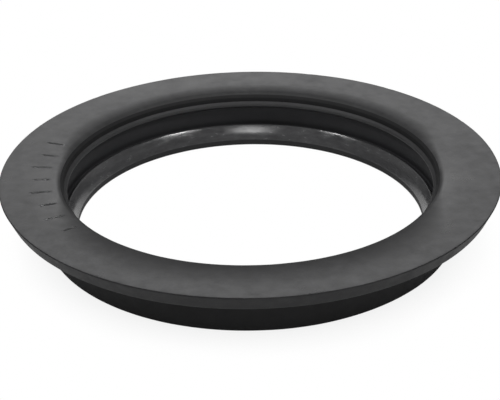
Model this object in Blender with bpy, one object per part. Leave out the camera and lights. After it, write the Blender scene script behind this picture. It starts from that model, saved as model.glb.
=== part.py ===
"""Rubber connector seal for a round pipe entering a manhole or chamber wall.

One moulded ring, modelled as it lies on a bench: flange up, body foot down.
The origin is the centre of the foot face, +Z runs up the ring's axis, units are metres.
The whole section is one closed outline, drawn in the XZ plane and turned about Z.
"""

import math

import bmesh
import bpy

# Pipe that the ring grips. Every radius below is built outwards from it.
PIPE_D = 0.1100
TOTAL_H = 0.0185

# Sealing lip at the bottom of the bore.
LIP_SQUEEZE = 0.0021
LIP_BAND_H = 0.0020
LIP_BAND_ROUND = 0.0006
LIP_H = 0.00666
LIP_MOUTH_CLEARANCE = 0.00060
LIP_FACE_BULGE = 0.00030
LIP_FACE_ROUND = 0.0080
LIP_EDGE_ROUND = 0.00028
LIP_EDGE_LAND = 0.00075
LIP_EDGE_SLOPE = math.radians(28.0)

# Shallow groove behind the lip, which lets it bend out as the pipe passes.
GROOVE_DEPTH = 0.0009
GROOVE_ROUND = 0.00035

# Retaining bead at the top of the recess.
BEAD_CLEARANCE = 0.00015
BEAD_PROUD = 0.00095
BEAD_NOSE_R = 0.00085
BEAD_FACE_SLOPE = math.radians(30.0)
RECESS_DEPTH = 0.00225
RECESS_ROUND = 0.0006

# Mouth: a flat flange that dips gently and then rolls down to the bead.
CROWN_R = 0.0750
CROWN_TURN = math.radians(6.0)
ROLL_R = 0.0030
ROLL_TURN = math.radians(90.0)

# Flange.
FLANGE_OVERHANG = 0.01255
FLANGE_EDGE_H = 0.00465
FLANGE_EDGE_TAPER = 0.0021
FLANGE_TOP_ROUND = 0.0006
FLANGE_UNDER_ROUND = 0.0004

# Body that fills the hole in the wall.
BODY_WALL = 0.0054
BODY_DRAFT = math.radians(1.0)
NECK_ROUND = 0.0015
FOOT_ROUND = 0.0010
BORE_FOOT_ROUND = 0.0004

# Fineness of the faceted solid.
RING_STEPS = 80
ROUND_STEP = math.radians(30.0)
ROLL_STEP = math.radians(10.0)
SMOOTH_ANGLE = math.radians(35.0)

# A corner's round takes at most this share of either side next to it.
CORNER_SHARE = 0.49
# A turn this little over a whole number of steps gets no extra step.
STEP_TOLERANCE = 1e-6

RUBBER_COLOR = (0.0105, 0.0105, 0.0110, 1.0)
RUBBER_ROUGHNESS = 0.55


def clear_scene():
    for old in list(bpy.data.objects):
        bpy.data.objects.remove(old, do_unlink=True)


def arc(centre, radius, start, end, longest_step):
    """Points (x, z) on an arc, both ends included; angles run anticlockwise from +X."""
    count = max(1, math.ceil(abs(end - start) / longest_step - STEP_TOLERANCE))
    points = []
    for i in range(count + 1):
        angle = start + (end - start) * i / count
        points.append((centre[0] + radius * math.cos(angle), centre[1] + radius * math.sin(angle)))
    return points


def rounded_corner(before, corner, after, radius):
    """The arc that replaces a sharp corner, limited by the sides next to it."""
    in_x, in_z = before[0] - corner[0], before[1] - corner[1]
    out_x, out_z = after[0] - corner[0], after[1] - corner[1]
    in_length = math.hypot(in_x, in_z)
    out_length = math.hypot(out_x, out_z)
    in_x, in_z = in_x / in_length, in_z / in_length
    out_x, out_z = out_x / out_length, out_z / out_length
    half = math.acos(max(-1.0, min(1.0, in_x * out_x + in_z * out_z))) / 2
    reach = min(radius / math.tan(half), CORNER_SHARE * in_length, CORNER_SHARE * out_length)
    radius = reach * math.tan(half)
    middle_x, middle_z = in_x + out_x, in_z + out_z
    to_centre = radius / math.sin(half) / math.hypot(middle_x, middle_z)
    centre = (corner[0] + middle_x * to_centre, corner[1] + middle_z * to_centre)
    start = math.atan2(corner[1] + in_z * reach - centre[1], corner[0] + in_x * reach - centre[0])
    end = math.atan2(corner[1] + out_z * reach - centre[1], corner[0] + out_x * reach - centre[0])
    turn = (end - start + math.pi) % (2 * math.pi) - math.pi
    return arc(centre, radius, start, start + turn, ROUND_STEP)


def rounded_outline(corners):
    """Corners are (x, z, round); a round of 0 keeps the point as it is."""
    points = []
    for i, (x, z, radius) in enumerate(corners):
        if radius == 0:
            points.append((x, z))
            continue
        before = corners[i - 1]
        after = corners[(i + 1) % len(corners)]
        points.extend(rounded_corner(before[:2], (x, z), after[:2], radius))
    return points


def mouth_curve(bead_r):
    """Crown and roll from the bead's crease up to the flat top, and the crease itself."""
    crease_x = bead_r + BEAD_PROUD
    up = math.pi / 2
    roll_run = ROLL_R * (math.sin(ROLL_TURN) - math.sin(CROWN_TURN))
    crown_x = crease_x + roll_run
    crown_z = TOTAL_H - CROWN_R * (1 - math.cos(CROWN_TURN))
    flat_x = crown_x + CROWN_R * math.sin(CROWN_TURN)
    roll_centre = (crown_x + ROLL_R * math.sin(CROWN_TURN), crown_z - ROLL_R * math.cos(CROWN_TURN))
    roll = arc(roll_centre, ROLL_R, up + ROLL_TURN, up + CROWN_TURN, ROLL_STEP)
    crown = arc((flat_x, TOTAL_H - CROWN_R), CROWN_R, up + CROWN_TURN, up, CROWN_TURN / 2)
    return roll + crown[1:]


def bead_curve(bead_r, crease):
    """The bead's rounded nose, from its underside up to its sloping top face."""
    nose_x = bead_r + BEAD_NOSE_R
    face_end_x = nose_x - BEAD_NOSE_R * math.sin(BEAD_FACE_SLOPE)
    face_end_z = crease[1] - (crease[0] - face_end_x) * math.tan(BEAD_FACE_SLOPE)
    nose_z = face_end_z - BEAD_NOSE_R * math.cos(BEAD_FACE_SLOPE)
    left = math.pi
    half_nose = math.pi / 2 - BEAD_FACE_SLOPE
    return arc((nose_x, nose_z), BEAD_NOSE_R, left + half_nose, left - half_nose, ROUND_STEP)


def lip_face_middle(foot, edge):
    """The middle of the lip's face, raised off the straight line so that the face bulges."""
    run_x, run_z = edge[0] - foot[0], edge[1] - foot[1]
    length = math.hypot(run_x, run_z)
    x = (foot[0] + edge[0]) / 2 - LIP_FACE_BULGE * run_z / length
    z = (foot[1] + edge[1]) / 2 + LIP_FACE_BULGE * run_x / length
    return x, z


def ring_section():
    """The closed section, from the flat top outwards, down the outside and up the bore."""
    pipe_r = PIPE_D / 2
    bore_r = pipe_r - LIP_SQUEEZE
    bead_r = pipe_r + BEAD_CLEARANCE
    recess_r = bead_r + RECESS_DEPTH
    body_r = recess_r + BODY_WALL
    flange_r = body_r + FLANGE_OVERHANG

    under_z = TOTAL_H - FLANGE_EDGE_H
    neck_r = body_r + under_z * math.tan(BODY_DRAFT)
    outside = [
        (flange_r, TOTAL_H, FLANGE_TOP_ROUND),
        (flange_r - FLANGE_EDGE_TAPER, under_z, FLANGE_UNDER_ROUND),
        (neck_r, under_z, NECK_ROUND),
        (body_r, 0.0, FOOT_ROUND),
    ]

    mouth_r = pipe_r + LIP_MOUTH_CLEARANCE
    land_x = mouth_r + LIP_EDGE_LAND * math.cos(LIP_EDGE_SLOPE)
    land_z = LIP_H - LIP_EDGE_LAND * math.sin(LIP_EDGE_SLOPE)
    groove_z = LIP_H - GROOVE_DEPTH
    lip = [
        (bore_r, 0.0, BORE_FOOT_ROUND),
        (bore_r, LIP_BAND_H, LIP_BAND_ROUND),
        (*lip_face_middle((bore_r, LIP_BAND_H), (mouth_r, LIP_H)), LIP_FACE_ROUND),
        (mouth_r, LIP_H, LIP_EDGE_ROUND),
        (land_x, land_z, GROOVE_ROUND),
        (land_x, groove_z, GROOVE_ROUND),
        (recess_r, groove_z, GROOVE_ROUND),
    ]

    mouth = mouth_curve(bead_r)
    bead = bead_curve(bead_r, mouth[0])
    under_bead_z = bead[0][1] - (recess_r - bead[0][0]) * math.tan(BEAD_FACE_SLOPE)
    recess_top = [(recess_r, under_bead_z, RECESS_ROUND)]

    plain = [(x, z, 0) for x, z in bead + mouth]
    return rounded_outline(outside + lip + recess_top + plain)


def rubber_material():
    material = bpy.data.materials.new("black_moulded_rubber")
    material.use_nodes = True
    shader = material.node_tree.nodes["Principled BSDF"]
    shader.inputs["Base Color"].default_value = RUBBER_COLOR
    shader.inputs["Roughness"].default_value = RUBBER_ROUGHNESS
    shader.inputs["Metallic"].default_value = 0.0
    material.diffuse_color = RUBBER_COLOR
    return material


def turned_ring(name, section, material):
    """Turn a closed section once about Z into a closed ring."""
    bm = bmesh.new()
    verts = [bm.verts.new((x, 0.0, z)) for x, z in section]
    edges = [bm.edges.new((verts[i - 1], verts[i])) for i in range(len(verts))]
    bmesh.ops.spin(
        bm,
        geom=verts + edges,
        cent=(0.0, 0.0, 0.0),
        axis=(0.0, 0.0, 1.0),
        angle=2 * math.pi,
        steps=RING_STEPS,
        use_merge=True,
        use_duplicate=False,
    )
    bmesh.ops.recalc_face_normals(bm, faces=bm.faces)
    mesh = bpy.data.meshes.new(name)
    bm.to_mesh(mesh)
    bm.free()
    mesh.materials.append(material)
    mesh.shade_smooth()
    mesh.set_sharp_from_angle(angle=SMOOTH_ANGLE)
    ring = bpy.data.objects.new(name, mesh)
    bpy.context.scene.collection.objects.link(ring)
    return ring


def main():
    clear_scene()
    turned_ring("seal_ring", ring_section(), rubber_material())


main()
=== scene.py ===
# %% [markdown]
# A rubber seal for a drain pipe, photographed lying flat with its flange up.
# The solid from the CAD step is loaded first and never moved. It gives the outside
# size that the finer surface below has to keep to.

# %% Load the fixed frame
import math

import bpy
from mathutils import Matrix, Vector, noise


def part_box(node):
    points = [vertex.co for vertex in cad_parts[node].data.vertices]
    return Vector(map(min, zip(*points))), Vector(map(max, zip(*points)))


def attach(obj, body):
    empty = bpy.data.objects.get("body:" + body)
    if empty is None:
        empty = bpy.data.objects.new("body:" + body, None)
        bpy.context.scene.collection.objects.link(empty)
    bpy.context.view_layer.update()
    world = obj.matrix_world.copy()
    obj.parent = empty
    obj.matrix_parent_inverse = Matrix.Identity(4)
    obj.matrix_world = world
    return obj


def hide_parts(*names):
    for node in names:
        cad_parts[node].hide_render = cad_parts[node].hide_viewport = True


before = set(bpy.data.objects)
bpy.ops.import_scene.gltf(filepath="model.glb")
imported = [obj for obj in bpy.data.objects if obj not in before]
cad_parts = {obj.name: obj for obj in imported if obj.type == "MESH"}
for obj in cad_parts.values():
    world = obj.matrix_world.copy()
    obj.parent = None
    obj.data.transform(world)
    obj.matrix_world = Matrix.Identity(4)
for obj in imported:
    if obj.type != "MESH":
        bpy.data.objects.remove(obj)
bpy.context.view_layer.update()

MM = 0.001
NODE = "seal_ring"
node_low, node_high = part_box(NODE)
TOTAL_H = node_high.z - node_low.z
FLANGE_R = (node_high.x - node_low.x) / 2
print("ring height mm", round(TOTAL_H / MM, 3), "flange radius mm", round(FLANGE_R / MM, 3))

# %% [markdown]
# The camera comes from the photograph. The flange's outline and the bore are circles,
# so their ellipses give the height of the eye, its distance and its small roll. The eye
# is five flange radii from the flange's centre and looks down by about 28 degrees.

# %% Camera at the photograph's angle
IMAGE_WIDTH_PX = 500
FOCAL_PX = 1240.0
SENSOR_MM = 36.0
EYE_DISTANCE_R = 5.0
EYE_ELEVATION = math.radians(27.94)
EYE_ROLL = math.radians(-0.97)
CENTRE_RIGHT_R = 0.0017
CENTRE_UP_R = 0.1425


def add_camera():
    forward = Vector((0.0, math.cos(EYE_ELEVATION), -math.sin(EYE_ELEVATION)))
    up = Vector((0.0, math.sin(EYE_ELEVATION), math.cos(EYE_ELEVATION)))
    right = Vector((1.0, 0.0, 0.0))
    flange_centre = Vector((0.0, 0.0, TOTAL_H))
    shift = right * CENTRE_RIGHT_R + up * CENTRE_UP_R + forward * EYE_DISTANCE_R
    turned = Matrix((right, up, -forward)).transposed() @ Matrix.Rotation(EYE_ROLL, 3, "Z")
    data = bpy.data.cameras.new("photo_camera")
    data.sensor_fit = "HORIZONTAL"
    data.sensor_width = SENSOR_MM
    data.lens = SENSOR_MM * FOCAL_PX / IMAGE_WIDTH_PX
    data.clip_start = 0.01
    data.clip_end = 50.0
    camera = bpy.data.objects.new("photo_camera", data)
    camera.matrix_world = Matrix.Translation(flange_centre - shift * FLANGE_R) @ turned.to_4x4()
    bpy.context.scene.collection.objects.link(camera)
    bpy.context.scene.camera = camera
    return camera


camera = add_camera()
print("lens mm", round(camera.data.lens, 2), "eye mm", [round(v / MM, 1) for v in camera.location])

# %% [markdown]
# The ring is a turned form: one closed section swept round an axis. A modeller could
# use a Screw modifier, but here every point of the surface also gets its own small
# unevenness, so the section is turned by hand into a grid of points.
# These are the sizes of the section, outwards from the 110 mm pipe that it grips.

# %% Sizes of the section
PIPE_R = 55.0 * MM

LIP_SQUEEZE = 2.1 * MM
LIP_BAND_H = 2.0 * MM
LIP_H = 6.66 * MM
LIP_MOUTH_CLEARANCE = 0.60 * MM
LIP_FACE_BULGE = 0.30 * MM
LIP_FACE_ROUND = 8.0 * MM
LIP_EDGE_LAND = 0.75 * MM
LIP_EDGE_SLOPE = math.radians(28.0)
GROOVE_DEPTH = 0.9 * MM

BEAD_CLEARANCE = 0.15 * MM
BEAD_PROUD = 0.95 * MM
BEAD_NOSE_R = 0.85 * MM
BEAD_FACE_SLOPE = math.radians(30.0)
RECESS_DEPTH = 2.25 * MM
BODY_WALL = 5.4 * MM
BODY_DRAFT = math.radians(1.0)

CROWN_R = 75.0 * MM
CROWN_TURN = math.radians(6.0)
ROLL_R = 3.0 * MM
ROLL_TURN = math.radians(90.0)

FLANGE_EDGE_H = 4.65 * MM
FLANGE_EDGE_TAPER = 2.1 * MM

# Radii of the rounded corners.
FLANGE_TOP_ROUND = 0.35 * MM
FLANGE_UNDER_ROUND = 0.4 * MM
NECK_ROUND = 1.5 * MM
FOOT_ROUND = 1.0 * MM
BORE_FOOT_ROUND = 0.4 * MM
LIP_BAND_ROUND = 0.6 * MM
LIP_EDGE_ROUND = 0.40 * MM
LAND_ROUND = 0.15 * MM
GROOVE_ROUND = 0.30 * MM
GROOVE_OUTER_ROUND = 0.35 * MM
RECESS_ROUND = 0.6 * MM

bore_r = PIPE_R - LIP_SQUEEZE
lip_r = PIPE_R + LIP_MOUTH_CLEARANCE
bead_r = PIPE_R + BEAD_CLEARANCE
crease_r = bead_r + BEAD_PROUD
recess_r = bead_r + RECESS_DEPTH
body_r = recess_r + BODY_WALL
print("bore, lip, bead, recess, body radii mm",
      [round(r / MM, 2) for r in (bore_r, lip_r, bead_r, recess_r, body_r)])

# %% [markdown]
# Moulded rubber has no knife edges: the mould's corners are cut with a small cutter, so
# every corner of the section is an arc. A helper puts an arc of the wanted radius into
# a corner, and another draws an arc between two angles.

# %% Arcs and rounded corners
ROUND_STEP = math.radians(12.0)
ROLL_STEP = math.radians(3.5)


def arc(centre, radius, start, end, longest_step):
    """Points (x, z) on an arc, both ends included."""
    count = max(2, math.ceil(abs(end - start) / longest_step))
    angles = [start + (end - start) * i / count for i in range(count + 1)]
    return [(centre[0] + radius * math.cos(a), centre[1] + radius * math.sin(a)) for a in angles]


def rounded_corner(before, corner, after, radius):
    """The arc that takes a sharp corner's place."""
    corner = Vector(corner)
    inward = (Vector(before) - corner).normalized()
    outward = (Vector(after) - corner).normalized()
    half = inward.angle(outward) / 2
    reach = radius / math.tan(half)
    centre = corner + (inward + outward).normalized() * (radius / math.sin(half))
    start = corner + inward * reach - centre
    end = corner + outward * reach - centre
    first = math.atan2(start.y, start.x)
    turn = (math.atan2(end.y, end.x) - first + math.pi) % (2 * math.pi) - math.pi
    return arc(centre, radius, first, first + turn, ROUND_STEP)


def rounded_path(corners):
    """Corners (x, z, round) from the second to the last but one become arcs."""
    points = [corners[0][:2]]
    for before, here, after in zip(corners, corners[1:], corners[2:]):
        points.extend(rounded_corner(before[:2], here[:2], after[:2], here[2]))
    points.append(corners[-1][:2])
    return points


# %% [markdown]
# The section is drawn in eight stretches, each with its own material: the crease, darkened
# as painted shade; the roll's foot, darkened less as painted shade; the dusty flange top, with
# painted shade round the bore; the outside; the polished lip and the lip's worn edge, both
# lightened as painted light; the recess, its gloss cut as painted shade; and the bead.
# Where two stretches meet they share a point, so the skin stays closed.

# %% Section in stretches
FINE_STEP = 0.8 * MM
# The crease takes the roll's lowest steps, and the roll's foot the next ones.
CREASE_ROWS = 7
ROLL_FOOT_ROWS = 13
# Where the flange top hands over to the outside, and where the lip's edge starts and ends.
RIM_INSET = 0.25 * MM
LIP_EDGE_DROP = 0.45 * MM
LIP_EDGE_RUN = 0.30 * MM


def subdivided(points, longest):
    """The same path with no side longer than the given length."""
    result = [points[0]]
    for a, b in zip(points, points[1:]):
        count = max(1, math.ceil(math.dist(a, b) / longest))
        for i in range(1, count + 1):
            t = i / count
            result.append((a[0] + (b[0] - a[0]) * t, a[1] + (b[1] - a[1]) * t))
    return result


def mouth_points():
    """From the bead's crease over the roll and the crown to the flat top."""
    up = math.pi / 2
    crown_x = crease_r + ROLL_R * (math.sin(ROLL_TURN) - math.sin(CROWN_TURN))
    crown_z = TOTAL_H - CROWN_R * (1 - math.cos(CROWN_TURN))
    flat_x = crown_x + CROWN_R * math.sin(CROWN_TURN)
    roll_centre = (crown_x + ROLL_R * math.sin(CROWN_TURN), crown_z - ROLL_R * math.cos(CROWN_TURN))
    roll = arc(roll_centre, ROLL_R, up + ROLL_TURN, up + CROWN_TURN, ROLL_STEP)
    crown = arc((flat_x, TOTAL_H - CROWN_R), CROWN_R, up + CROWN_TURN, up, CROWN_TURN / 4)
    return roll + crown[1:]


def bead_points(crease):
    """From under the bead round its nose to the crease."""
    nose_x = bead_r + BEAD_NOSE_R
    face_end_x = nose_x - BEAD_NOSE_R * math.sin(BEAD_FACE_SLOPE)
    face_end_z = crease[1] - (crease[0] - face_end_x) * math.tan(BEAD_FACE_SLOPE)
    nose_z = face_end_z - BEAD_NOSE_R * math.cos(BEAD_FACE_SLOPE)
    half_nose = math.pi / 2 - BEAD_FACE_SLOPE
    nose = arc((nose_x, nose_z), BEAD_NOSE_R, math.pi + half_nose, math.pi - half_nose, ROUND_STEP)
    return nose + [crease]


def lip_face_middle(foot, edge):
    """The middle of the lip's face, raised off the straight line so that the face bulges."""
    foot, edge = Vector(foot), Vector(edge)
    along = (edge - foot).normalized()
    middle = (foot + edge) / 2 + Vector((-along.y, along.x)) * LIP_FACE_BULGE
    return middle.x, middle.y


def section_stretches():
    """Name and points of each stretch, round the section from the bead's crease outwards."""
    mouth = mouth_points()
    bead = bead_points(mouth[0])
    under_z = TOTAL_H - FLANGE_EDGE_H
    edge_lean = math.atan2(FLANGE_EDGE_TAPER, FLANGE_EDGE_H)
    # The rounded edge is what the box measures, so the sharp corner lies a little outside it.
    corner_angle = math.pi / 2 - edge_lean
    corner_r = FLANGE_R + FLANGE_TOP_ROUND / math.tan(corner_angle / 2) - FLANGE_TOP_ROUND
    neck_r = body_r + under_z * math.tan(BODY_DRAFT)
    land = (lip_r + LIP_EDGE_LAND * math.cos(LIP_EDGE_SLOPE),
            LIP_H - LIP_EDGE_LAND * math.sin(LIP_EDGE_SLOPE))
    groove_z = LIP_H - GROOVE_DEPTH
    recess_top_z = bead[0][1] - (recess_r - bead[0][0]) * math.tan(BEAD_FACE_SLOPE)
    foot_mid = ((body_r + bore_r) / 2, 0.0)

    outline = rounded_path([
        (mouth[-1][0], TOTAL_H),
        (corner_r, TOTAL_H, FLANGE_TOP_ROUND),
        (corner_r - FLANGE_EDGE_TAPER, under_z, FLANGE_UNDER_ROUND),
        (neck_r, under_z, NECK_ROUND),
        (body_r, 0.0, FOOT_ROUND),
        foot_mid,
    ])
    top_end = next(i for i, p in enumerate(outline) if p[0] >= FLANGE_R - RIM_INSET)
    inner = rounded_path([
        foot_mid,
        (bore_r, 0.0, BORE_FOOT_ROUND),
        (bore_r, LIP_BAND_H, LIP_BAND_ROUND),
        (*lip_face_middle((bore_r, LIP_BAND_H), (lip_r, LIP_H)), LIP_FACE_ROUND),
        (lip_r, LIP_H, LIP_EDGE_ROUND),
        (land[0], land[1], LAND_ROUND),
        (land[0], groove_z, GROOVE_ROUND),
        (recess_r, groove_z, GROOVE_OUTER_ROUND),
        (recess_r, recess_top_z, RECESS_ROUND),
        bead[0],
    ])
    # The lip's face ends where the round of its top edge begins, and the round ends on the land.
    edge_start = next(i for i, p in enumerate(inner) if p[1] > LIP_H - LIP_EDGE_DROP)
    band_end = max(i for i, p in enumerate(inner[:edge_start]) if p[1] < LIP_BAND_H)
    edge_end = next(i for i, p in enumerate(inner) if i > edge_start and p[0] > lip_r + LIP_EDGE_RUN)
    return [
        ("crease", mouth[:CREASE_ROWS + 1]),
        ("roll_foot", mouth[CREASE_ROWS:ROLL_FOOT_ROWS + 1]),
        ("flange_top", mouth[ROLL_FOOT_ROWS:] + outline[1:top_end + 1]),
        ("outside", outline[top_end:] + inner[1:band_end + 1]),
        ("lip", inner[band_end:edge_start + 1]),
        ("lip_edge", inner[edge_start:edge_end + 1]),
        ("recess", inner[edge_end:]),
        ("bead", bead),
    ]


stretches = [(name, subdivided(points, FINE_STEP)) for name, points in section_stretches()]
print("points in each stretch", {name: len(points) for name, points in stretches})

# %% [markdown]
# A row of marks was moulded into the flange on the left. They are made here as plain
# radial graduation marks, sunk 0.45 mm. The grid of points is drawn closer together
# where a mark's sides fall, so that each mark is real geometry with its own walls.

# %% Graduation marks
MARK_FIRST = 164.0
MARK_LAST = 217.0
MARK_COUNT = 8
MARK_WIDTH = 1.0 * MM
MARK_WALL = 0.25 * MM
MARK_DEPTH = 0.45 * MM
MARK_INNER_R = 60.6 * MM
MARK_LONG = 5.4 * MM
MARK_SHORT = 3.6 * MM

marks = []
for i in range(MARK_COUNT):
    angle = math.radians(MARK_FIRST + (MARK_LAST - MARK_FIRST) * i / (MARK_COUNT - 1))
    marks.append((angle, MARK_SHORT if i % 2 else MARK_LONG))


def smoothstep(low, high, value):
    t = max(0.0, min(1.0, (value - low) / (high - low)))
    return t * t * (3 - 2 * t)


def mark_sink(angle, radius):
    """How deep the surface is sunk by a mark at this place on the flange top."""
    deepest = 0.0
    for mark_angle, length in marks:
        across = abs(math.remainder(angle - mark_angle, 2 * math.pi)) * radius
        if across > MARK_WIDTH:
            continue
        side = 1 - smoothstep(MARK_WIDTH / 2 - MARK_WALL, MARK_WIDTH / 2, across)
        inner = smoothstep(MARK_INNER_R, MARK_INNER_R + MARK_WALL, radius)
        outer = 1 - smoothstep(MARK_INNER_R + length - MARK_WALL, MARK_INNER_R + length, radius)
        deepest = max(deepest, MARK_DEPTH * side * inner * outer)
    return deepest


print("marks at degrees", [round(math.degrees(a), 1) for a, _ in marks])

# %% [markdown]
# Rubber comes out of the mould hot and soft, and it is never quite true: the flange
# waves a little, the edge has small nicks where flash was trimmed, and the skin has
# shallow sinks. Smooth noise moves each point inwards along the surface, never outwards, so
# the ring stays inside its box.

# %% Unevenness of the moulding
WAVE_DEPTH = {"crease": 0.10 * MM, "roll_foot": 0.10 * MM, "flange_top": 0.10 * MM,
              "outside": 0.10 * MM, "lip": 0.08 * MM, "lip_edge": 0.08 * MM,
              "recess": 0.08 * MM, "bead": 0.08 * MM}
WAVE_LENGTH = 26.0 * MM
SINK_DEPTH = 0.035 * MM
SINK_LENGTH = 5.0 * MM
NICK_DEPTH = 0.22 * MM
NICK_LENGTH = 2.2 * MM
NICK_LEVEL = 0.42
NICK_ZONE = 1.2 * MM
# Shifts through the noise, so that the three patterns don't follow one another.
SINK_SHIFT = Vector((7.0, 3.0, 1.0))
NICK_SHIFT = Vector((2.0, 11.0, 5.0))


def unevenness(name, point):
    """Distance to move a surface point inwards."""
    wave = 0.5 + 0.5 * noise.noise(point / WAVE_LENGTH)
    sink = 0.5 + 0.5 * noise.noise(point / SINK_LENGTH + SINK_SHIFT)
    return WAVE_DEPTH[name] * wave + SINK_DEPTH * sink


def edge_nick(point):
    """Small bites along the flange's top edge."""
    level = noise.noise(point / NICK_LENGTH + NICK_SHIFT)
    return NICK_DEPTH * smoothstep(NICK_LEVEL, 1.0, level)


# %% [markdown]
# The grid is turned about Z. Its columns are 1.25 degrees apart, with extra columns
# across each mark. Every stretch becomes faces with its own material slot.

# %% Turn the section into the ring
RING_COLUMNS = 288
MARK_OFFSETS = (-0.60, -0.50, -0.42, -0.33, -0.25, 0.0, 0.25, 0.33, 0.42, 0.50, 0.60)


def column_angles():
    angles = [2 * math.pi * i / RING_COLUMNS for i in range(RING_COLUMNS)]
    half_step = math.pi / RING_COLUMNS
    for mark_angle, _ in marks:
        middle_r = MARK_INNER_R + MARK_LONG / 2
        extra = [mark_angle + MARK_WIDTH * offset / middle_r for offset in MARK_OFFSETS]
        angles = [a for a in angles if not extra[0] - half_step / 2 < a < extra[-1] + half_step / 2]
        angles.extend(extra)
    return sorted(angles)


def section_rings():
    """Points of the closed section in order, each with its stretch and inward direction."""
    rings = []
    for name, points in stretches:
        for point in points[:-1]:
            rings.append((name, point))
    inward = []
    for i in range(len(rings)):
        before = Vector(rings[i - 1][1])
        after = Vector(rings[(i + 1) % len(rings)][1])
        along = (after - before).normalized()
        inward.append((along.y, -along.x))
    return rings, inward


def ring_mesh():
    rings, inward = section_rings()
    angles = column_angles()
    points = []
    for angle in angles:
        cosine, sine = math.cos(angle), math.sin(angle)
        for (name, (x, z)), (in_x, in_z) in zip(rings, inward):
            place = Vector((x * cosine, x * sine, z))
            depth = unevenness(name, place)
            if name == "flange_top":
                depth += mark_sink(angle, x)
            if x > FLANGE_R - NICK_ZONE and z > TOTAL_H - NICK_ZONE:
                depth += edge_nick(place)
            x_in, z_in = x + in_x * depth, z + in_z * depth
            points.append((x_in * cosine, x_in * sine, max(z_in, 0.0)))
    names = [name for name, _ in stretches]
    count = len(rings)
    faces, slots = [], []
    for column in range(len(angles)):
        here = column * count
        there = (column + 1) % len(angles) * count
        for row in range(count):
            above = (row + 1) % count
            faces.append((here + row, there + row, there + above, here + above))
            slots.append(names.index(rings[row][0]))
    mesh = bpy.data.meshes.new("moulded_ring")
    mesh.from_pydata(points, [], faces)
    mesh.polygons.foreach_set("material_index", slots)
    mesh.validate()
    mesh.shade_smooth()
    return mesh


ring = bpy.data.objects.new("moulded_ring", ring_mesh())
bpy.context.scene.collection.objects.link(ring)
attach(ring, "root")
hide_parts(NODE)
print("ring faces", len(ring.data.polygons))

# %% [markdown]
# Materials are written as sRGB hex, the way a designer reads a colour off a sample, and
# turned to linear numbers for the shader. One small function adds a node, sets it and
# links it, so that each material below reads as a list of what the surface does.

# %% Helpers for colours and nodes
def from_hex(code):
    """A linear colour with alpha from an sRGB hex code."""
    channels = [int(code[i:i + 2], 16) / 255 for i in (0, 2, 4)]
    linear = [c / 12.92 if c <= 0.04045 else ((c + 0.055) / 1.055) ** 2.4 for c in channels]
    return (*linear, 1.0)


def add_node(tree, kind, settings=None, inputs=None):
    """Adds a node; an input given as an output socket is linked, any other is set."""
    node = tree.nodes.new(kind)
    for key, value in (settings or {}).items():
        setattr(node, key, value)
    for key, value in (inputs or {}).items():
        if isinstance(value, bpy.types.NodeSocket):
            tree.links.new(value, node.inputs[key])
        else:
            node.inputs[key].default_value = value
    return node


# %% [markdown]
# Black EPDM rubber, compression moulded. Carbon black makes it almost as dark as a
# solid gets, and the mould's blasted steel leaves a satin skin. Wax and talc work their
# way out as a pale bloom, in soft clouds and specks, which lifts the black to a dusty
# grey. Round the bore the bloom is thinned as painted shade, most at the front and the back.
# Rubber's index of refraction is about 1.52.

# %% Moulded black rubber
RUBBER_IOR = 1.52
CLOUD_MM = 16.0
SMUDGE_MM = 3.5
GRAIN_MM = 0.45
NOISE_LOW, NOISE_HIGH = 0.3, 0.7
# Cloud times smudge at which the bloom is thinnest and thickest, and how thin it gets.
BLOOM_LOW, BLOOM_HIGH = 0.12, 0.42
THIN_BLOOM = 0.35
RELIEF_DEPTH = 0.1 * MM
# Share of the bloom left where the painted shade round the bore is deepest, and how much rougher the
# skin is there.
SHADE_BLOOM_SHARE = 0.1
DULL_GAIN = 0.52
# The extra roughness is gone at this share of the way out across the painted shade zone.
DULL_SHARE = 0.75
# How much wider the painted shade zone is at the front and the back than at the sides, and
# how far its border wanders.
SHADE_WIDER_FRONT = 16.0 * MM
SHADE_WIDER_BACK = 7.5 * MM
SHADE_RAGGED = 4.0 * MM


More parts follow.
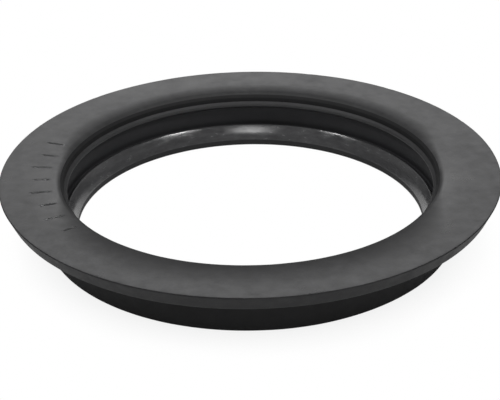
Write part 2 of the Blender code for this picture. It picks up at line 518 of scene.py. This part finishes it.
def moulded_rubber(name, base, bloom, bloom_amount, roughness, bump, gloss=0.5, streak=1.0,
                   patchy=0.07, shade_radii=None):
    """Satin rubber: base and bloom are sRGB hex, streak draws the noise out along the ring.

    patchy is how far the roughness wanders either way. The last argument gives two radii for
    the ring's sides: inside the first the bloom is thinned as painted shade, outside the second it is
    whole.
    """
    material = bpy.data.materials.new(name)
    material.use_nodes = True
    tree = material.node_tree
    shader = tree.nodes["Principled BSDF"]
    shader.inputs["IOR"].default_value = RUBBER_IOR
    shader.inputs["Specular IOR Level"].default_value = gloss
    shader.inputs["Metallic"].default_value = 0.0
    place = add_node(tree, "ShaderNodeTexCoord")
    stretched = add_node(tree, "ShaderNodeMapping", inputs={
        "Vector": place.outputs["Object"], "Scale": (1 / MM, 1 / MM, streak / MM)})
    spot = stretched.outputs["Vector"]
    cloud = add_node(tree, "ShaderNodeTexNoise", inputs={
        "Vector": spot, "Scale": 1 / CLOUD_MM, "Detail": 5.0, "Roughness": 0.6})
    smudge = add_node(tree, "ShaderNodeTexNoise", inputs={
        "Vector": spot, "Scale": 1 / SMUDGE_MM, "Detail": 4.0, "Roughness": 0.65})
    grain = add_node(tree, "ShaderNodeTexNoise", inputs={
        "Vector": spot, "Scale": 1 / GRAIN_MM, "Detail": 2.0, "Roughness": 0.5})
    both = add_node(tree, "ShaderNodeMath", {"operation": "MULTIPLY"}, {
        0: cloud.outputs["Fac"], 1: smudge.outputs["Fac"]})
    dust = add_node(tree, "ShaderNodeMapRange", inputs={
        "Value": both.outputs["Value"], "From Min": BLOOM_LOW, "From Max": BLOOM_HIGH,
        "To Min": THIN_BLOOM * bloom_amount, "To Max": bloom_amount})
    dust_and_painted_shade = dust.outputs["Result"]
    # Round the bore the bloom is thinned as painted shade, over a wider zone at the front and the back.
    if shade_radii:
        flat = add_node(tree, "ShaderNodeVectorMath", {"operation": "MULTIPLY"}, {
            0: place.outputs["Object"], 1: (1.0, 1.0, 0.0)})
        radius = add_node(tree, "ShaderNodeVectorMath", {"operation": "LENGTH"}, {
            0: flat.outputs["Vector"]})
        ragged = add_node(tree, "ShaderNodeMath", {"operation": "MULTIPLY_ADD"}, {
            0: cloud.outputs["Fac"], 1: SHADE_RAGGED, 2: radius.outputs["Value"]})
        side = add_node(tree, "ShaderNodeSeparateXYZ", inputs={"Vector": place.outputs["Object"]})
        front = add_node(tree, "ShaderNodeMapRange", {"interpolation_type": "SMOOTHSTEP"}, {
            "Value": side.outputs["Y"], "From Min": -bead_r, "From Max": -bead_r / 5,
            "To Min": shade_radii[1] + SHADE_WIDER_FRONT, "To Max": shade_radii[1]})
        back = add_node(tree, "ShaderNodeMapRange", inputs={
            "Value": side.outputs["Y"], "From Min": 0.0, "From Max": bead_r / 2,
            "To Min": 0.0, "To Max": SHADE_WIDER_BACK})
        unshaded_from = add_node(tree, "ShaderNodeMath", {"operation": "ADD"}, {
            0: front.outputs["Result"], 1: back.outputs["Result"]})
        outward = add_node(tree, "ShaderNodeMapRange", inputs={
            "Value": ragged.outputs["Value"], "From Min": shade_radii[0],
            "From Max": unshaded_from.outputs["Value"]})
        unshaded = add_node(tree, "ShaderNodeMapRange", {"interpolation_type": "SMOOTHSTEP"}, {
            "Value": outward.outputs["Result"], "To Min": SHADE_BLOOM_SHARE, "To Max": 1.0})
        dust_and_painted_shade = add_node(tree, "ShaderNodeMath", {"operation": "MULTIPLY"}, {
            0: dust_and_painted_shade, 1: unshaded.outputs["Result"]}).outputs["Value"]
    colour = add_node(tree, "ShaderNodeMix", {"data_type": "RGBA"}, {
        "Factor": dust_and_painted_shade, "A": from_hex(base), "B": from_hex(bloom)})
    tree.links.new(colour.outputs["Result"], shader.inputs["Base Color"])
    wandering = cloud if shade_radii else smudge
    rough = add_node(tree, "ShaderNodeMapRange", inputs={
        "Value": wandering.outputs["Fac"], "From Min": NOISE_LOW, "From Max": NOISE_HIGH,
        "To Min": roughness - patchy, "To Max": roughness + patchy}).outputs["Result"]
    if shade_radii:
        duller = add_node(tree, "ShaderNodeMapRange", inputs={
            "Value": outward.outputs["Result"], "From Max": DULL_SHARE,
            "To Min": DULL_GAIN, "To Max": 0.0})
        rough = add_node(tree, "ShaderNodeMath", {"operation": "ADD"}, {
            0: rough, 1: duller.outputs["Result"]}).outputs["Value"]
    tree.links.new(rough, shader.inputs["Roughness"])
    relief = add_node(tree, "ShaderNodeBump", inputs={
        "Height": grain.outputs["Fac"], "Strength": bump, "Distance": RELIEF_DEPTH})
    tree.links.new(relief.outputs["Normal"], shader.inputs["Normal"])
    return material


# Name, base, bloom, amount of bloom, roughness and strength of the fine relief.
finishes = {
    # The crease's darker base and bloom and its low gloss are painted shade.
    "crease": moulded_rubber("crease_painted_shade_rubber", "101011", "1c1c1d", 0.50, 0.76, 0.25, gloss=0.20),
    # The roll's foot is darkened too, less than the crease, as painted shade.
    "roll_foot": moulded_rubber("roll_foot_painted_shade_rubber", "101011", "262627", 0.40, 0.80, 0.20, gloss=0.34),
    # The flange top's bloom is real dust; round the bore it is thinned as painted shade.
    "flange_top": moulded_rubber("dusty_rubber_painted_shade", "111112", "525253", 0.80, 0.34, 0.15,
                                 patchy=0.09, shade_radii=(56.0 * MM, 60.5 * MM)),
    "outside": moulded_rubber("clean_moulded_rubber", "1a1a1b", "2b2b2c", 0.40, 0.60, 0.25, gloss=0.22),
    # The lip's lighter base and bloom are painted light; its low roughness is its real polish.
    "lip": moulded_rubber("polished_lip_painted_light_rubber", "323233", "5a5a5b", 0.50, 0.19, 0.20,
                          streak=3.0, patchy=0.12),
    # The lip's edge shares the lip's lighter colour, which is painted light.
    "lip_edge": moulded_rubber("worn_lip_edge_painted_light_rubber", "303031", "585859", 0.50, 0.12, 0.10,
                               gloss=0.80),
    # The recess's low gloss darkens it as painted shade.
    "recess": moulded_rubber("recess_painted_shade_rubber", "222224", "323233", 0.50, 0.60, 0.25, gloss=0.12),
    "bead": moulded_rubber("worn_bead_rubber", "242425", "3b3b3c", 0.60, 0.60, 0.25, gloss=0.32),
}
for name, _ in stretches:
    ring.data.materials.append(finishes[name])
print("finishes", sorted(finishes))

# %% [markdown]
# The ring was shot on white. The floor is a large plain sheet. It shows as white to the
# eye and to reflections, apart from the soft contact shadow where the ring closes it in,
# which an ambient occlusion node finds. For bounced light it is ordinary white card.

# %% White floor with a contact shadow
FLOOR_HALF = 8.0
SHADOW_REACH = 30.0 * MM
# Openness to brightness: (openness from, to), (brightness from, to).
REFLECTED_SHADE = (0.10, 0.75), (0.03, 1.0)
SEEN_SHADE = (0.05, 0.50), (0.80, 1.0)


def white_card():
    material = bpy.data.materials.new("white_card_floor")
    material.use_nodes = True
    tree = material.node_tree
    tree.nodes.clear()
    path = add_node(tree, "ShaderNodeLightPath")
    mirror = add_node(tree, "ShaderNodeMath", {"operation": "MAXIMUM"}, {
        0: path.outputs["Is Glossy Ray"], 1: path.outputs["Is Transmission Ray"]})
    seen = add_node(tree, "ShaderNodeMath", {"operation": "MAXIMUM"}, {
        0: path.outputs["Is Camera Ray"], 1: mirror.outputs["Value"]})
    closed_in = add_node(tree, "ShaderNodeAmbientOcclusion", {"samples": 8}, {"Distance": SHADOW_REACH})
    deep_shade, light_shade = [
        add_node(tree, "ShaderNodeMapRange", inputs={
            "Value": closed_in.outputs["AO"], "From Min": openness[0], "From Max": openness[1],
            "To Min": brightness[0], "To Max": brightness[1]})
        for openness, brightness in (REFLECTED_SHADE, SEEN_SHADE)]
    shade = add_node(tree, "ShaderNodeMix", {"data_type": "FLOAT"}, {
        "Factor": path.outputs["Is Camera Ray"], "A": deep_shade.outputs["Result"],
        "B": light_shade.outputs["Result"]})
    glow = add_node(tree, "ShaderNodeEmission", inputs={
        "Color": (1.0, 1.0, 1.0, 1.0), "Strength": shade.outputs["Result"]})
    card = add_node(tree, "ShaderNodeBsdfDiffuse", inputs={"Color": from_hex("f0f0f0")})
    mix = add_node(tree, "ShaderNodeMixShader", inputs={
        "Fac": seen.outputs["Value"], 1: card.outputs["BSDF"], 2: glow.outputs["Emission"]})
    add_node(tree, "ShaderNodeOutputMaterial", inputs={"Surface": mix.outputs["Shader"]})
    return material


def add_floor():
    corners = [(-FLOOR_HALF, -FLOOR_HALF), (FLOOR_HALF, -FLOOR_HALF),
               (FLOOR_HALF, FLOOR_HALF), (-FLOOR_HALF, FLOOR_HALF)]
    mesh = bpy.data.meshes.new("studio_floor")
    mesh.from_pydata([(x, y, 0.0) for x, y in corners], [], [(0, 1, 2, 3)])
    mesh.materials.append(white_card())
    floor = bpy.data.objects.new("studio_floor", mesh)
    bpy.context.scene.collection.objects.link(floor)


add_floor()

# %% [markdown]
# Black rubber shows its surroundings more than its own colour. The photograph has a
# bright wall behind the ring, which the flange mirrors at a low angle, a dimmer ceiling
# and little light from the camera's side. The world draws that as a gradient by
# direction: a bright band behind, between the horizon and the ceiling, that fades
# towards the sides and the front.

# %% World as a soft studio
BACK_LEVEL = 2.20
SIDE_SHARE = 0.32
FRONT_LEVEL = 0.12
TOP_LEVEL = 0.12
LOW_LEVEL = 0.09
# Parts of a unit direction: Y from the front to the back, the height Z at which the band
# rises and fades, and how far aside, in X, it fades.
FRONT_Y, BACK_Y = -0.60, 0.90
BAND_RISE = (0.20, 0.42)
BAND_FADE = (0.34, 0.74)
ASIDE_X = 0.4


def studio_world():
    world = bpy.data.worlds.new("soft_studio")
    bpy.context.scene.world = world
    world.use_nodes = True
    tree = world.node_tree
    tree.nodes.clear()
    direction = add_node(tree, "ShaderNodeTexCoord")
    parts = add_node(tree, "ShaderNodeSeparateXYZ", inputs={"Vector": direction.outputs["Generated"]})
    round_about = add_node(tree, "ShaderNodeMapRange", {"interpolation_type": "SMOOTHSTEP"}, {
        "Value": parts.outputs["Y"], "From Min": FRONT_Y, "From Max": BACK_Y,
        "To Min": FRONT_LEVEL, "To Max": BACK_LEVEL})
    upward = add_node(tree, "ShaderNodeMapRange", {"interpolation_type": "SMOOTHSTEP"}, {
        "Value": parts.outputs["Z"], "From Min": BAND_FADE[0], "From Max": BAND_FADE[1],
        "To Min": 1.0, "To Max": TOP_LEVEL})
    downward = add_node(tree, "ShaderNodeMapRange", {"interpolation_type": "SMOOTHSTEP"}, {
        "Value": parts.outputs["Z"], "From Min": BAND_RISE[0], "From Max": BAND_RISE[1],
        "To Min": LOW_LEVEL, "To Max": 1.0})
    band = add_node(tree, "ShaderNodeMath", {"operation": "MULTIPLY"}, {
        0: upward.outputs["Result"], 1: downward.outputs["Result"]})
    aside = add_node(tree, "ShaderNodeMath", {"operation": "ABSOLUTE"}, {0: parts.outputs["X"]})
    middle = add_node(tree, "ShaderNodeMapRange", {"interpolation_type": "SMOOTHSTEP"}, {
        "Value": aside.outputs["Value"], "From Min": 0.0, "From Max": ASIDE_X,
        "To Min": 1.0, "To Max": SIDE_SHARE})
    round_middle = add_node(tree, "ShaderNodeMath", {"operation": "MULTIPLY"}, {
        0: round_about.outputs["Result"], 1: middle.outputs["Result"]})
    level = add_node(tree, "ShaderNodeMath", {"operation": "MULTIPLY"}, {
        0: round_middle.outputs["Value"], 1: band.outputs["Value"]})
    light = add_node(tree, "ShaderNodeBackground", inputs={"Strength": level.outputs["Value"]})
    add_node(tree, "ShaderNodeOutputWorld", inputs={"Surface": light.outputs["Background"]})


studio_world()

# %% [markdown]
# Lamps add what a gradient cannot. A lamp above the camera makes the bright patch on
# the polished lip. Two small soft boxes, left and right of it and higher up, draw the
# thin bright lines on the lip's edge. A broad panel overhead brings the scattered
# light to a plain level and is kept out of reflections.

# %% Lamps
def add_lamp(name, azimuth, elevation, distance, size, power, in_reflections=True):
    """An area lamp that looks at the ring's centre; angles in degrees, 270 is the camera's side."""
    turn, rise = math.radians(azimuth), math.radians(elevation)
    toward = Vector((math.cos(turn) * math.cos(rise), math.sin(turn) * math.cos(rise), math.sin(rise)))
    data = bpy.data.lights.new(name, "AREA")
    data.shape = "RECTANGLE"
    data.size, data.size_y = size
    data.energy = power
    lamp = bpy.data.objects.new(name, data)
    lamp.location = toward * distance
    lamp.rotation_euler = toward.to_track_quat("Z", "Y").to_euler()
    lamp.visible_glossy = in_reflections
    bpy.context.scene.collection.objects.link(lamp)


add_lamp("camera_lamp", 268.0, 43.0, 0.9, (0.26, 0.26), 1.9)
add_lamp("left_soft_box", 191.0, 54.0, 1.0, (0.20, 0.12), 3.6)
add_lamp("right_soft_box", 334.0, 54.0, 1.0, (0.20, 0.12), 4.2)
add_lamp("overhead_panel", 90.0, 62.0, 1.2, (1.0, 1.0), 4.0, in_reflections=False)

# %% [markdown]
# The Standard view keeps the colours as they are written.

# %% View settings
bpy.context.scene.view_settings.view_transform = "Standard"
bpy.context.view_layer.update()
